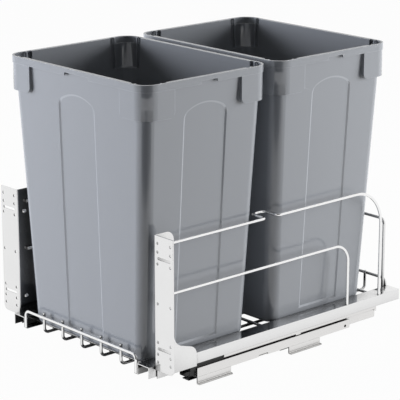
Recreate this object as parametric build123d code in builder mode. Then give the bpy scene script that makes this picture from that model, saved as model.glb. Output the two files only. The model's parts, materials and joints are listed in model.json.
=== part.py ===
from build123d import *
from math import atan2, cos, degrees, hypot, sin
import os

# Pull-out waste unit for a kitchen base cabinet: two lift-out bins in a wire basket, carried by
# a pair of bottom-mounted ball-bearing slides, with two brackets that take the cabinet's door.
# Millimetres. X is the width, -Y the way the basket pulls out, +Z up. The origin lies on the
# cabinet floor, at the centre of the screw holes in the four feet.

# ---------------------------------------------------------------- basket channels
basket_width = 337.0            # over the outer faces of the two side channels
channel_length = 560.0
channel_front_y = -233.5
channel_strip = 27.0            # width of the flat top
channel_depth = 18.0            # height of the lip and of the inner wall
channel_flange = 7.0            # inward foot of the inner wall
channel_sheet = 1.5

# ---------------------------------------------------------------- slides
foot_height = 12.0
foot_length = 71.0
foot_pitch = 199.0              # between the centres of a front and a rear foot
foot_sheet = 2.0
foot_lip = 4.5                  # narrow lip turned outward
foot_tab = 13.0                 # wide lip turned inward, that the floor screws go through
foot_hole_d = 4.2
foot_hole_pitch = 46.0
foot_bend_r = 1.2
rail_length = 340.0
rail_width = 22.0
rail_height = 14.5
rail_sheet = 1.5
rail_hole_d = 4.5               # in the outer wall, near the rear end
rail_hole_setback = 10.4
rail_hole_height = 5.0          # above the underside
rail_slot_start = 131.6         # from the rail's front end
rail_slot_length = 20.0
rail_slot_height = 3.0
slide_gap = 8.0                 # between the top of a fixed rail and the channel lip
race_gap = 2.5                  # between the walls that a row of balls runs between
groove_depth = 0.4
ball_d = 3.0
balls_per_row = 3
lower_ball_height = 7.0         # above the underside of the fixed rail
upper_ball_drop = 9.0           # below the top of the channel
member_length = 405.0
member_sheet = 1.5
member_floor_gap = 1.5          # above the floor of the fixed rail
member_waist_z = 27.5           # underside of the web that joins its two channels
member_top_gap = 3.2            # below the roof of the runner
guide_nose_length = 11.0        # guide: nose, block, plug in the member, cheeks beside it
guide_nose_width = 13.0
guide_nose_height = 6.5
guide_nose_rise = 1.8           # above the member's base
guide_nose_chamfer = 2.5
guide_block_length = 12.5
guide_plug_length = 18.0
guide_cheek_length = 57.0
guide_cage_gap = 1.0            # over the lower cage's walls
guide_top_gap = 4.5             # under the upper cage's walls
running_gap = 0.3               # between flat faces that pass each other
runner_length = 349.0
runner_setback = 55.0           # from its rear end to the channel's
runner_sheet = 1.5
runner_height = 21.5
runner_tab_start = 158.1        # lanced tab under the outer leg, from the runner's front end
runner_tab_length = 11.0
runner_tab_drop = 2.2
runner_tab_sheet = 0.8
runner_catch_length = 7.0       # pointed catch at the runner's rear end
runner_catch_drop = 4.5
cage_sheet = 0.8
cage_strip = 0.6
cage_floor_gap = 0.45
cage_reach = 3.0                # how far a cage wall goes past the centres of its balls
ball_clearance = 0.1
cage_end_gap = 4.0              # that a cage keeps to the end of its race, at full travel
lower_cage_length = 145.0
upper_cage_length = 150.0
basket_travel = 500.0

# ---------------------------------------------------------------- wire basket
floor_wire_d = 4.8
rail_wire_d = 5.0
weld_gap = 0.2
floor_wire_pitch = 48.0
floor_wire_count = 5
floor_wire_bend_r = 8.0
floor_wire_tip = 5.5            # how far a tip stands above the end rails
cross_wire_count = 7
cross_wire_front = 26.0         # first cross wire, behind the front end of the channels
cross_wire_rear = 32.0
end_rail_height = 12.0          # above the top of the channels
end_rail_bend_r = 9.0
front_rail_inset = 1.0          # behind the front end of the channels
rear_rail_inset = 2.5
hoop_height = 119.0
hoop_bend_r = 10.0
hoop_inset = 9.0
upper_rail_height = 185.5       # above the top of the channels
upper_rail_leg = 48.5           # from its leg to the rear end of the channels
upper_rail_bend_r = 61.0
lower_rail_height = 105.7
lower_rail_leg = 126.0
lower_rail_bend_r = 31.0
rail_start = 16.0               # front ends of the side rails, behind the bracket's flange
dip_width = 27.0                # inward loop of an upper side rail, between the bins
dip_depth = 33.0
dip_bend_r = 8.0
dip_corner_r = 7.0

# ---------------------------------------------------------------- door brackets
bracket_sheet = 2.0
bracket_flange_y = -222.0       # face that the door lies against
bracket_flange = 41.0
bracket_height = 206.5          # above the top of the channels
bracket_flange_drop = 5.5       # below the top of the channels
bracket_plate_drop = 21.0
bracket_plate = 38.0            # depth of the upright part of the side plate
bracket_top_r = 15.0
bracket_foot_r = 21.0
bracket_foot_reach = 84.0       # from the flange to the tip of the foot
bracket_foot_height = 24.4      # of the foot's sloping top line, at the plate's back edge
bracket_toe_height = 14.2       # and where the toe's arc begins
bracket_toe_reach = 12.0
bracket_corner_r = 9.0
bracket_bend_r = 3.0
relief_width = 4.0
door_hole_d = 4.5
door_column_inner = 8.0         # from the side plate's inner face to the holes' columns
door_column_outer = 36.8
door_hole_rows = (8.7, 21.3, 40.0, 100.8, 163.0, 181.5, 195.0)
door_slot_rows = (30.4, 171.8)
door_slot_length = 30.0
door_slot_width = 4.5
rivet_rows = (24.5, 168.7)
rivet_setback = 14.0            # behind the flange
rivet_head_d = 7.5
rivet_head_h = 2.6
rivet_d = 4.0
rivet_clearance = 0.05

# ---------------------------------------------------------------- bins
bin_height = 438.0
bin_gap = 17.4                  # between the two rims
rim_inset = 0.5                 # rims inside the channels' outer faces
rim_lead = 3.1                  # front rim ahead of the channels
rear_space = 40.9               # rear rim to the channels' rear ends
base_side_gap = 4.9             # base to the channels' inner walls
base_taper_y = 18.3             # rim to base, on the front and on the back
bin_wall = 2.6
bin_floor = 3.0
bin_rim_r = 26.0
bin_corner_r = 20.5             # of the four tapered corners
bin_edge_r = 8.0
bin_seat_gap = 0.3
rim_overhang = 4.6
rim_band = 11.0
rim_sheet = 2.2
pad_length = 59.0               # stacking pads at the corners, from the rim's corner
pad_height = 54.0               # below the rim's top
pad_inset = 1.0
pad_corner_r = 9.0
pocket_width = 38.5             # hollow behind a pad, along X, from the rim's corner
pocket_depth = 46.5             # and along Y
pocket_rib_x = 27.0             # ribs that cross a pocket
pocket_rib_y = 35.0
pocket_rib = 2.5
notch_height = 4.5              # in the lower edge of the rim's band
side_notch = 33.0
end_notch = 58.0
end_notch_x = 9.7
panel_width = 87.0              # arched panels sunk in the four walls
panel_drop = 40.0               # apex below the rim's top
panel_arch_r = 74.0
panel_corner_r = 18.0
panel_rise = 14.0               # foot of the panel above the bin's base
panel_depth = 1.2
panel_bevel = 3.0

overcut = 1.0                   # how far a cut runs past the face that it opens
near = 1.0                      # half the window in which edges are picked by their place

# ---------------------------------------------------------------- derived levels and places
rail_base_z = foot_height
rail_top_z = rail_base_z + rail_height
lip_z = rail_top_z + slide_gap
channel_top_z = lip_z + channel_depth
channel_roof_z = channel_top_z - channel_sheet
channel_rear_y = channel_front_y + channel_length
channel_inner_x = basket_width / 2 - channel_strip
flange_top_z = lip_z + channel_sheet
slide_x = basket_width / 2 - rail_width / 2
rail_front_y = -(foot_pitch + foot_length) / 2
runner_width = 2 * (basket_width / 2 - channel_sheet - slide_x)
lower_race_x = rail_width / 2 - rail_sheet - race_gap / 2
upper_race_x = runner_width / 2 - runner_sheet - race_gap / 2
lower_member_width = 2 * (lower_race_x - race_gap / 2)
upper_member_width = 2 * (upper_race_x - race_gap / 2)
groove_r = race_gap / 2 + groove_depth
lower_ball_z = rail_base_z + lower_ball_height
upper_ball_z = channel_top_z - upper_ball_drop
rail_floor_z = rail_base_z + rail_sheet
runner_roof_z = channel_roof_z - runner_sheet
member_base_z = rail_floor_z + member_floor_gap
member_top_z = runner_roof_z - member_top_gap
member_front_y = rail_front_y
member_rear_y = member_front_y + member_length
runner_base_z = channel_roof_z - runner_height
runner_rear_y = channel_rear_y - runner_setback
runner_front_y = runner_rear_y - runner_length
cage_drift = basket_travel / 4  # of each cage against the members that it runs between
lower_cage_rear_y = rail_front_y + cage_end_gap + cage_drift + lower_cage_length
upper_cage_rear_y = runner_rear_y - cage_end_gap - cage_drift

cross_wire_z = lip_z + floor_wire_d + weld_gap + floor_wire_d / 2
floor_wire_z = lip_z + floor_wire_d / 2
bin_base_z = cross_wire_z + floor_wire_d / 2 + bin_seat_gap
rim_top_z = bin_base_z + bin_height
bin_width = basket_width - 2 * rim_inset
bin_depth = (channel_length + rim_lead - rear_space - bin_gap) / 2
bin_base_width = 2 * (channel_inner_x - base_side_gap)
bin_base_depth = bin_depth - 2 * base_taper_y
rim_gap_y = channel_front_y - rim_lead + bin_depth + bin_gap / 2
side_rail_x = basket_width / 2 - rail_wire_d / 2 - weld_gap
end_leg_x = channel_inner_x - channel_flange / 2
end_rail_z = channel_top_z + end_rail_height
front_rail_y = channel_front_y + front_rail_inset
rear_rail_y = channel_rear_y - rear_rail_inset
tip_offset = (rail_wire_d + floor_wire_d) / 2 + weld_gap


def finish(block, label, side=1):
    """Label a finished piece, mirror it to the left where side is -1, and write its STEP file."""
    part = block.part if side > 0 else mirror(block.part, about=Plane.YZ)
    part.label = label
    export_step(part, f"parts/{label}.step")


def wire(points, radii, diameter):
    """Build a round wire along a polyline, its bends as parts of rings."""
    with BuildLine() as path:
        FilletPolyline(*points, radius=radii)
    with BuildPart() as rod:
        for edge in path.edges():
            with BuildSketch(Plane(origin=edge @ 0, z_dir=edge % 0)):
                Circle(diameter / 2)
            if edge.geom_type == GeomType.LINE:
                extrude(amount=edge.length)
            else:
                centre = edge.arc_center
                turn = Axis(centre, (edge @ 0 - centre).cross(edge % 0))
                revolve(axis=turn, revolution_arc=degrees(edge.length / edge.radius))
    return rod


def groove(race_x, ball_z):
    """Cut both ball grooves of a row of balls out of the profile being drawn."""
    with Locations((slide_x - race_x, ball_z), (slide_x + race_x, ball_z)):
        Circle(groove_r, mode=Mode.SUBTRACT)


def section(y):
    """Plane of a cross-section at y, with local x along +X, local y along +Z, facing -Y."""
    return Plane(origin=(0, y, 0), x_dir=(1, 0, 0), z_dir=(0, -1, 0))


def box_2d(x0, x1, z0, z1, mode=Mode.ADD):
    """Rectangle from its limits, for the profiles of the folded sections."""
    with Locations(((x0 + x1) / 2, (z0 + z1) / 2)):
        Rectangle(x1 - x0, z1 - z0, mode=mode)


def build_channel(side, label):
    """Hat-shaped side channel: flat top, outer lip, inner wall and inward foot flange."""
    outer_x = basket_width / 2
    with BuildPart() as channel:
        with BuildSketch(section(channel_rear_y)):
            box_2d(channel_inner_x, outer_x, channel_roof_z, channel_top_z)
            box_2d(outer_x - channel_sheet, outer_x, lip_z, channel_top_z)
            box_2d(channel_inner_x, channel_inner_x + channel_sheet, lip_z, channel_top_z)
            box_2d(channel_inner_x - channel_flange, channel_inner_x + channel_sheet,
                   lip_z, lip_z + channel_sheet)
        extrude(amount=channel_length)
    finish(channel, label, side)


def build_fixed_rail(side, label):
    """Cabinet member of a slide: an open-topped rolled channel with a ball groove in each wall."""
    with BuildPart() as rail:
        with BuildSketch(section(rail_front_y + rail_length)):
            box_2d(slide_x - rail_width / 2, slide_x + rail_width / 2, rail_base_z, rail_top_z)
            box_2d(slide_x - rail_width / 2 + rail_sheet, slide_x + rail_width / 2 - rail_sheet,
                   rail_floor_z, rail_top_z + overcut, Mode.SUBTRACT)
            groove(lower_race_x, lower_ball_z)
        extrude(amount=rail_length)
        outer_x = slide_x + rail_width / 2
        hole_y = rail_front_y + rail_length - rail_hole_setback
        with Locations((outer_x, hole_y, rail_base_z + rail_hole_height)):
            Cylinder(rail_hole_d / 2, 2 * (rail_sheet + groove_depth), rotation=(0, 90, 0),
                     mode=Mode.SUBTRACT)
        slot_y = rail_front_y + rail_slot_start + rail_slot_length / 2
        with Locations((outer_x, slot_y, rail_base_z)):
            Box(2 * rail_sheet, rail_slot_length, 2 * rail_slot_height, mode=Mode.SUBTRACT)
    finish(rail, label, side)


def build_member(side, label):
    """Intermediate member: two channels back to back on one web, so its section is an H."""
    lower = lower_member_width / 2
    upper = upper_member_width / 2
    with BuildPart() as member:
        with BuildSketch(section(member_rear_y)):
            box_2d(slide_x - lower, slide_x + lower, member_base_z, member_waist_z + member_sheet)
            box_2d(slide_x - upper, slide_x + upper, member_waist_z, member_top_z)
            box_2d(slide_x - lower + member_sheet, slide_x + lower - member_sheet,
                   member_base_z - overcut, member_waist_z, Mode.SUBTRACT)
            box_2d(slide_x - upper + member_sheet, slide_x + upper - member_sheet,
                   member_waist_z + member_sheet, member_top_z + overcut, Mode.SUBTRACT)
            groove(lower_race_x, lower_ball_z)
            groove(upper_race_x, upper_ball_z)
        extrude(amount=member_length)
    finish(member, label, side)


def build_guide(side, label):
    """Plastic guide on the front end of the intermediate member: nose, block, plug and cheeks."""
    lower = lower_member_width / 2
    plug = lower - member_sheet - weld_gap
    low_half = runner_width / 2 - runner_tab_sheet - running_gap
    high_half = runner_width / 2 - runner_sheet - running_gap
    low_z = lower_ball_z + cage_reach + guide_cage_gap
    step_z = runner_base_z - running_gap
    high_z = upper_ball_z - cage_reach - guide_top_gap
    neck_z = member_waist_z + member_sheet + weld_gap
    nose_z = member_base_z + guide_nose_rise
    nose_x = guide_nose_width / 2
    with BuildPart() as guide:
        with BuildSketch(section(member_front_y - guide_block_length)):
            box_2d(slide_x - nose_x, slide_x + nose_x, nose_z, nose_z + guide_nose_height)
        extrude(amount=guide_nose_length)
        chamfer(guide.faces().sort_by(Axis.Y)[0].edges(), length=guide_nose_chamfer)
        with BuildSketch(section(member_front_y + guide_cheek_length)):
            box_2d(slide_x - low_half, slide_x + low_half, low_z, step_z)
            box_2d(slide_x - high_half, slide_x + high_half, low_z, high_z)
        extrude(amount=guide_cheek_length + guide_block_length)
        with BuildSketch(section(member_front_y + guide_cheek_length + overcut)):
            inner = lower + weld_gap
            box_2d(slide_x - inner, slide_x + inner, low_z - overcut, neck_z)
            inner = upper_member_width / 2 + weld_gap
            box_2d(slide_x - inner, slide_x + inner, low_z, high_z + overcut)
        extrude(amount=guide_cheek_length + overcut, mode=Mode.SUBTRACT)
        with BuildSketch(section(member_front_y)):
            box_2d(slide_x - lower, slide_x + lower, member_base_z, high_z)
        extrude(amount=guide_block_length)
        with BuildSketch(section(member_front_y + guide_plug_length)):
            box_2d(slide_x - plug, slide_x + plug, member_base_z, member_waist_z - weld_gap)
        extrude(amount=guide_plug_length)
    finish(guide, label, side)


def build_runner(side, label):
    """Basket member of a slide: an inverted channel that fills the side channel's cavity."""
    half = runner_width / 2
    with BuildPart() as runner:
        with BuildSketch(section(runner_rear_y)):
            box_2d(slide_x - half, slide_x + half, runner_base_z, channel_roof_z)
            box_2d(slide_x - half + runner_sheet, slide_x + half - runner_sheet,
                   runner_base_z - overcut, runner_roof_z, Mode.SUBTRACT)
            groove(upper_race_x, upper_ball_z)
        extrude(amount=runner_length)
        with BuildSketch(section(runner_front_y + runner_tab_start + runner_tab_length)):
            box_2d(slide_x + half - runner_tab_sheet, slide_x + half,
                   runner_base_z - runner_tab_drop, runner_base_z)
        extrude(amount=runner_tab_length)
        with BuildSketch(Plane(origin=(slide_x + half - runner_sheet, 0, 0), x_dir=(0, 1, 0),
                               z_dir=(1, 0, 0))):
            with BuildLine():
                Polyline((runner_rear_y - runner_catch_length, runner_base_z),
                         (runner_rear_y, runner_base_z),
                         (runner_rear_y, runner_base_z - runner_catch_drop), close=True)
            make_face()
        extrude(amount=runner_sheet - running_gap)
    finish(runner, label, side)


def build_cage(side, label, race_x, strip_z, wall_z, ball_z, rear_y, length):
    """Ball cage: a thin channel whose two walls hold a row of balls each."""
    wall = cage_sheet / 2
    low_z = min(strip_z, wall_z)
    with BuildPart() as cage:
        with BuildSketch(section(rear_y)):
            box_2d(slide_x - race_x - wall, slide_x + race_x + wall,
                   strip_z - cage_strip / 2, strip_z + cage_strip / 2)
            for row_x in (slide_x - race_x, slide_x + race_x):
                box_2d(row_x - wall, row_x + wall, low_z, low_z + abs(wall_z - strip_z))
        extrude(amount=length)
        row_plane = Plane(origin=(slide_x, rear_y - length / 2, ball_z), x_dir=(0, 1, 0),
                          z_dir=(1, 0, 0))
        with BuildSketch(row_plane):
            with GridLocations(length / balls_per_row, 0, balls_per_row, 1):
                Circle(ball_d / 2 + ball_clearance)
        extrude(amount=race_x + cage_sheet, both=True, mode=Mode.SUBTRACT)
    finish(cage, label, side)


def build_balls(side, label, race_x, ball_z, rear_y, length):
    """The loose balls of one cage, as a group of separate solids."""
    with BuildPart() as balls:
        with Locations((slide_x, rear_y - length / 2, ball_z)):
            with GridLocations(2 * race_x, length / balls_per_row, 2, balls_per_row):
                Sphere(ball_d / 2)
    finish(balls, label, side)


def build_foot(side, label, centre_y):
    """Hat-shaped foot under a fixed rail, with two screw holes in its wide inner lip."""
    outer_x = slide_x + rail_width / 2
    inner_x = slide_x - rail_width / 2
    with BuildPart() as foot:
        with BuildSketch(section(centre_y + foot_length / 2)):
            box_2d(inner_x, outer_x, 0, foot_height)
            box_2d(inner_x + foot_sheet, outer_x - foot_sheet, -overcut, foot_height - foot_sheet,
                   Mode.SUBTRACT)
            box_2d(outer_x - foot_sheet, outer_x + foot_lip, 0, foot_sheet)
            box_2d(inner_x - foot_tab, inner_x + foot_sheet, 0, foot_sheet)
        extrude(amount=foot_length)
        bends = foot.edges().filter_by(Axis.Y)
        bends = bends.filter_by_position(Axis.X, inner_x - near, outer_x + near)
        fillet(bends.filter_by_position(Axis.Z, -near, foot_height - near), radius=foot_bend_r)
        with Locations(Plane(origin=(inner_x - foot_tab / 2, centre_y, foot_sheet))):
            with GridLocations(0, foot_hole_pitch, 1, 2):
                Hole(foot_hole_d / 2)
    finish(foot, label, side)


def build_side_rail(side, label, height, leg, bend_r, with_dip):
    """Side rail of the basket: from the door bracket back, then down to the top of the channel."""
    z = channel_top_z + height
    leg_y = channel_rear_y - leg
    start = (side_rail_x, bracket_flange_y + rail_start, z)
    points = [start]
    radii = []
    if with_dip:
        inner_x = side_rail_x - dip_depth
        for x, y in ((side_rail_x, rim_gap_y - dip_width / 2), (inner_x, rim_gap_y - dip_width / 2),
                     (inner_x, rim_gap_y + dip_width / 2), (side_rail_x, rim_gap_y + dip_width / 2)):
            points.append((x, y, z))
        radii += [dip_corner_r, dip_bend_r, dip_bend_r, dip_corner_r]
    points += [(side_rail_x, leg_y, z), (side_rail_x, leg_y, channel_top_z)]
    radii.append(bend_r)
    finish(wire(points, radii, rail_wire_d), label, side)


def build_end_rail(label, y, z, bend_r):
    """Inverted U across the basket, standing on the inner flanges of the two channels."""
    points = [(-end_leg_x, y, flange_top_z), (-end_leg_x, y, z), (end_leg_x, y, z),
              (end_leg_x, y, flange_top_z)]
    finish(wire(points, [bend_r, bend_r], rail_wire_d), label)


def build_floor_wires():
    """Lengthwise floor wires, turned up at both ends behind the end rails."""
    front_y = front_rail_y + tip_offset
    rear_y = rear_rail_y - tip_offset
    tip_z = end_rail_z + floor_wire_tip
    points = [(0, front_y, tip_z), (0, front_y, floor_wire_z), (0, rear_y, floor_wire_z),
              (0, rear_y, tip_z)]
    single = wire(points, [floor_wire_bend_r, floor_wire_bend_r], floor_wire_d).part
    with BuildPart() as wires:
        with GridLocations(floor_wire_pitch, 0, floor_wire_count, 1):
            add(single)
    finish(wires, "floor_wires")


def build_cross_wires():
    """Cross wires that carry the bins; they lie on the floor wires and butt on the channels."""
    first_y = channel_front_y + cross_wire_front
    last_y = channel_rear_y - cross_wire_rear
    pitch = (last_y - first_y) / (cross_wire_count - 1)
    with BuildPart() as wires:
        with Locations((0, (first_y + last_y) / 2, cross_wire_z)):
            with GridLocations(0, pitch, 1, cross_wire_count):
                Cylinder(floor_wire_d / 2, 2 * channel_inner_x, rotation=(0, 90, 0))
    finish(wires, "cross_wires")


def build_bracket(side, label):
    """Door bracket: a side plate on the channel lip, folded to a flange with the door's holes."""
    inner_x = basket_width / 2
    top_z = channel_top_z + bracket_height
    base_z = channel_top_z - bracket_plate_drop
    foot_z = channel_top_z + bracket_foot_height
    back_y = bracket_flange_y + bracket_plate
    tip_y = bracket_flange_y + bracket_foot_reach
    toe_y = tip_y - bracket_toe_reach
    toe_z = channel_top_z + bracket_toe_height
    flange_z = channel_top_z - bracket_flange_drop
    with BuildPart() as bracket:
        with BuildSketch(Plane(origin=(inner_x, 0, 0), x_dir=(0, 1, 0), z_dir=(1, 0, 0))):
            with BuildLine():
                Polyline((bracket_flange_y, flange_z), (bracket_flange_y, top_z), (back_y, top_z),
                         (back_y, foot_z), (toe_y, toe_z))
                TangentArc((toe_y, toe_z), (tip_y, channel_top_z),
                           tangent=(toe_y - back_y, toe_z - foot_z))
                Polyline((tip_y, channel_top_z), (tip_y, base_z),
                         (bracket_flange_y + relief_width, base_z),
                         (bracket_flange_y + relief_width, flange_z), (bracket_flange_y, flange_z))
            make_face()
        extrude(amount=bracket_sheet)
        corners = bracket.edges().filter_by(Axis.X)
        fillet(corners.filter_by_position(Axis.Z, top_z - near, top_z + near).sort_by(Axis.Y)[-1],
               radius=bracket_top_r)
        fillet(corners.filter_by_position(Axis.Z, foot_z - near, foot_z + near).sort_by(Axis.Y)[0],
               radius=bracket_foot_r)
        flange_x = inner_x + bracket_sheet + bracket_flange
        with BuildSketch(section(bracket_flange_y + bracket_sheet)):
            box_2d(inner_x, flange_x, flange_z, top_z)
        extrude(amount=bracket_sheet)
        corners = bracket.edges().filter_by(Axis.Y)
        fillet(corners.filter_by_position(Axis.X, flange_x - near, flange_x + near).sort_by(Axis.Z)[0],
               radius=bracket_corner_r)
        folds = bracket.edges().filter_by(Axis.Z)
        fillet(folds.filter_by_position(Axis.X, inner_x - near, inner_x + near).sort_by(Axis.Y)[0],
               radius=bracket_bend_r)
        with BuildSketch(section(bracket_flange_y + 2 * bracket_sheet)):
            for row in door_hole_rows:
                with Locations((inner_x + door_column_inner, channel_top_z + row),
                               (inner_x + door_column_outer, channel_top_z + row)):
                    Circle(door_hole_d / 2)
            slot_x = inner_x + (door_column_inner + door_column_outer) / 2
            for row in door_slot_rows:
                with Locations((slot_x, channel_top_z + row)):
                    SlotOverall(door_slot_length, door_slot_width)
        extrude(amount=3 * bracket_sheet, mode=Mode.SUBTRACT)
        with BuildSketch(Plane(origin=(inner_x, 0, 0), x_dir=(0, 1, 0), z_dir=(1, 0, 0))):
            for row in rivet_rows:
                with Locations((bracket_flange_y + rivet_setback, channel_top_z + row)):
                    Circle(rivet_d / 2 + rivet_clearance)
        extrude(amount=bracket_sheet, mode=Mode.SUBTRACT)
    finish(bracket, label, side)


def build_rivets(side, label):
    """Round-headed rivets in the side plate, heads inside and shanks flush outside."""
    inner_x = basket_width / 2
    head_r = rivet_head_d / 2
    dome_r = (head_r ** 2 + rivet_head_h ** 2) / (2 * rivet_head_h)
    dome_z = dome_r - rivet_head_h
    with BuildPart() as rivet:
        with BuildSketch(Plane.XZ):
            with BuildLine():
                Polyline((0, bracket_sheet), (rivet_d / 2, bracket_sheet), (rivet_d / 2, 0), (head_r, 0))
                RadiusArc((head_r, 0), (0, -rivet_head_h), dome_r)
                Line((0, -rivet_head_h), (0, bracket_sheet))
            make_face()
        revolve(axis=Axis.Z)
    with BuildPart() as rivets:
        for row in rivet_rows:
            spot = Plane(origin=(inner_x, bracket_flange_y + rivet_setback, channel_top_z + row),
                         x_dir=(0, 1, 0), z_dir=(1, 0, 0))
            with Locations(spot):
                add(rivet.part)
    finish(rivets, label, side)


def panel_outline(plane, shrink):
    """Sketch the arched outline of a wall panel on a wall's plane, taken in by shrink."""
    slope_height = hypot(bin_height, (bin_width - bin_base_width) / 2)
    apex = slope_height - panel_drop
    half = panel_width / 2
    shoulder = apex - panel_arch_r + (panel_arch_r ** 2 - half ** 2) ** 0.5
    with BuildSketch(plane) as outline:
        with BuildLine():
            Polyline((-half, shoulder), (-half, panel_rise), (half, panel_rise), (half, shoulder))
            ThreePointArc((half, shoulder), (0, apex), (-half, shoulder))
        make_face()
        fillet(outline.vertices().group_by(Axis.Y)[-1], radius=panel_corner_r)
        if shrink:
            offset(amount=-shrink, kind=Kind.INTERSECTION, mode=Mode.REPLACE)
    return outline.sketch


def wall_plane(normal_x, normal_y, base_half, top_half):
    """Plane on a tapered bin wall, its origin at the middle of the wall's foot."""
    slope = atan2(top_half - base_half, bin_height)
    return Plane(origin=(normal_x * base_half, normal_y * base_half, bin_base_z),
                 x_dir=(-normal_y, normal_x, 0),
                 z_dir=(normal_x * cos(slope), normal_y * cos(slope), -sin(slope)))


def tapered_block(base_x, base_y, top_x, top_y, low_z, corner_r, edge_r):
    """Block up to the rim's top, narrower at its base, given by half its widths and depths."""
    with BuildPart() as block:
        with BuildSketch(Plane.XZ):
            with BuildLine():
                Polyline((-base_x, low_z), (base_x, low_z), (top_x, rim_top_z), (-top_x, rim_top_z),
                         close=True)
            make_face()
        extrude(amount=top_y, both=True)
        with BuildSketch(Plane.YZ):
            with BuildLine():
                Polyline((-base_y, low_z), (base_y, low_z), (top_y, rim_top_z), (-top_y, rim_top_z),
                         close=True)
            make_face()
        extrude(amount=top_x, both=True, mode=Mode.INTERSECT)
        base_edges = block.faces().sort_by(Axis.Z)[0].edges()
        top_edges = block.faces().sort_by(Axis.Z)[-1].edges()
        fillet(block.edges() - base_edges - top_edges, radius=corner_r)
        fillet(block.faces().sort_by(Axis.Z)[0].edges(), radius=edge_r)
    return block.part


def build_bin(label, centre_y):
    """Tapered bin with a turned-over rim, hollow corner pads and an arched panel in each wall."""
    base_x = bin_base_width / 2
    base_y = bin_base_depth / 2
    top_x = bin_width / 2 - rim_overhang
    top_y = bin_depth / 2 - rim_overhang
    pocket_inset = pad_inset + bin_wall
    with BuildPart() as bin_body:
        with BuildSketch(Plane.XY.offset(rim_top_z - pad_height)):
            RectangleRounded(bin_width - 2 * pad_inset, bin_depth - 2 * pad_inset, bin_rim_r - pad_inset)
            Rectangle(bin_width - 2 * pad_length, bin_depth, mode=Mode.SUBTRACT)
            Rectangle(bin_width, bin_depth - 2 * pad_length, mode=Mode.SUBTRACT)
        extrude(amount=pad_height - rim_band)
        foot_edges = bin_body.faces().sort_by(Axis.Z)[:4].edges()
        ends = [edge for edge in foot_edges
                if abs(abs(edge.center().X) - bin_width / 2 + pad_length) < near
                or abs(abs(edge.center().Y) - bin_depth / 2 + pad_length) < near]
        fillet(ends, radius=pad_corner_r)
        with BuildSketch(Plane.XY.offset(rim_top_z)):
            RectangleRounded(bin_width, bin_depth, bin_rim_r)
        extrude(amount=-rim_band)
        with BuildSketch(Plane.XY.offset(rim_top_z - rim_band)):
            RectangleRounded(bin_width - 2 * rim_sheet, bin_depth - 2 * rim_sheet, bin_rim_r - rim_sheet)
        extrude(amount=rim_band - rim_sheet, mode=Mode.SUBTRACT)
        with Locations((0, 0, rim_top_z - rim_band)):
            with GridLocations(bin_width, 0, 2, 1):
                Box(2 * rim_sheet, side_notch, 2 * notch_height, mode=Mode.SUBTRACT)
        with Locations((end_notch_x, 0, rim_top_z - rim_band)):
            with GridLocations(0, bin_depth, 1, 2):
                Box(end_notch, 2 * rim_sheet, 2 * notch_height, mode=Mode.SUBTRACT)
        add(tapered_block(base_x, base_y, top_x, top_y, bin_base_z, bin_corner_r, bin_edge_r))
        add(tapered_block(base_x - bin_wall, base_y - bin_wall, top_x - bin_wall, top_y - bin_wall,
                          bin_base_z + bin_floor, bin_corner_r - bin_wall, bin_edge_r - bin_wall),
            mode=Mode.SUBTRACT)
        with BuildSketch(Plane.XY.offset(rim_top_z - pad_height + bin_wall)):
            RectangleRounded(bin_width - 2 * pocket_inset, bin_depth - 2 * pocket_inset,
                             bin_rim_r - pocket_inset)
            Rectangle(bin_width - 2 * pocket_width, bin_depth, mode=Mode.SUBTRACT)
            Rectangle(bin_width, bin_depth - 2 * pocket_depth, mode=Mode.SUBTRACT)
            with GridLocations(bin_width - 2 * pocket_rib_x - pocket_rib, 0, 2, 1):
                Rectangle(pocket_rib, bin_depth, mode=Mode.SUBTRACT)
            with GridLocations(0, bin_depth - 2 * pocket_rib_y - pocket_rib, 1, 2):
                Rectangle(bin_width, pocket_rib, mode=Mode.SUBTRACT)
        extrude(amount=pad_height - bin_wall, mode=Mode.SUBTRACT)
        for normal_x, normal_y, base_half, top_half in (
                (1, 0, base_x, top_x), (-1, 0, base_x, top_x), (0, 1, base_y, top_y), (0, -1, base_y, top_y)):
            face = wall_plane(normal_x, normal_y, base_half, top_half)
            outlines = [panel_outline(face, 0), panel_outline(face.offset(-panel_depth), panel_bevel)]
            loft(sections=outlines, ruled=True, mode=Mode.SUBTRACT)
    bin_part = Pos(0, centre_y, 0) * bin_body.part
    bin_part.label = label
    export_step(bin_part, f"parts/{label}.step")


os.makedirs("parts", exist_ok=True)
for side, name in ((-1, "left"), (1, "right")):
    build_fixed_rail(side, f"fixed_rail_{name}")
    build_foot(side, f"front_foot_{name}", -foot_pitch / 2)
    build_foot(side, f"rear_foot_{name}", foot_pitch / 2)
    build_member(side, f"slide_member_{name}")
    build_guide(side, f"slide_guide_{name}")
    build_runner(side, f"basket_runner_{name}")
    build_cage(side, f"lower_ball_cage_{name}", lower_race_x,
               rail_floor_z + cage_floor_gap + cage_strip / 2, lower_ball_z + cage_reach,
               lower_ball_z, lower_cage_rear_y, lower_cage_length)
    build_balls(side, f"lower_balls_{name}", lower_race_x, lower_ball_z, lower_cage_rear_y,
                lower_cage_length)
    build_cage(side, f"upper_ball_cage_{name}", upper_race_x,
               (member_top_z + runner_roof_z) / 2, upper_ball_z - cage_reach,
               upper_ball_z, upper_cage_rear_y, upper_cage_length)
    build_balls(side, f"upper_balls_{name}", upper_race_x, upper_ball_z, upper_cage_rear_y,
                upper_cage_length)
    build_channel(side, f"side_channel_{name}")
    build_side_rail(side, f"upper_side_rail_{name}", upper_rail_height, upper_rail_leg,
                    upper_rail_bend_r, True)
    build_side_rail(side, f"lower_side_rail_{name}", lower_rail_height, lower_rail_leg,
                    lower_rail_bend_r, False)
    build_bracket(side, f"door_bracket_{name}")
    build_rivets(side, f"bracket_rivets_{name}")
build_floor_wires()
build_cross_wires()
build_end_rail("front_basket_rail", front_rail_y, end_rail_z, end_rail_bend_r)
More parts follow.
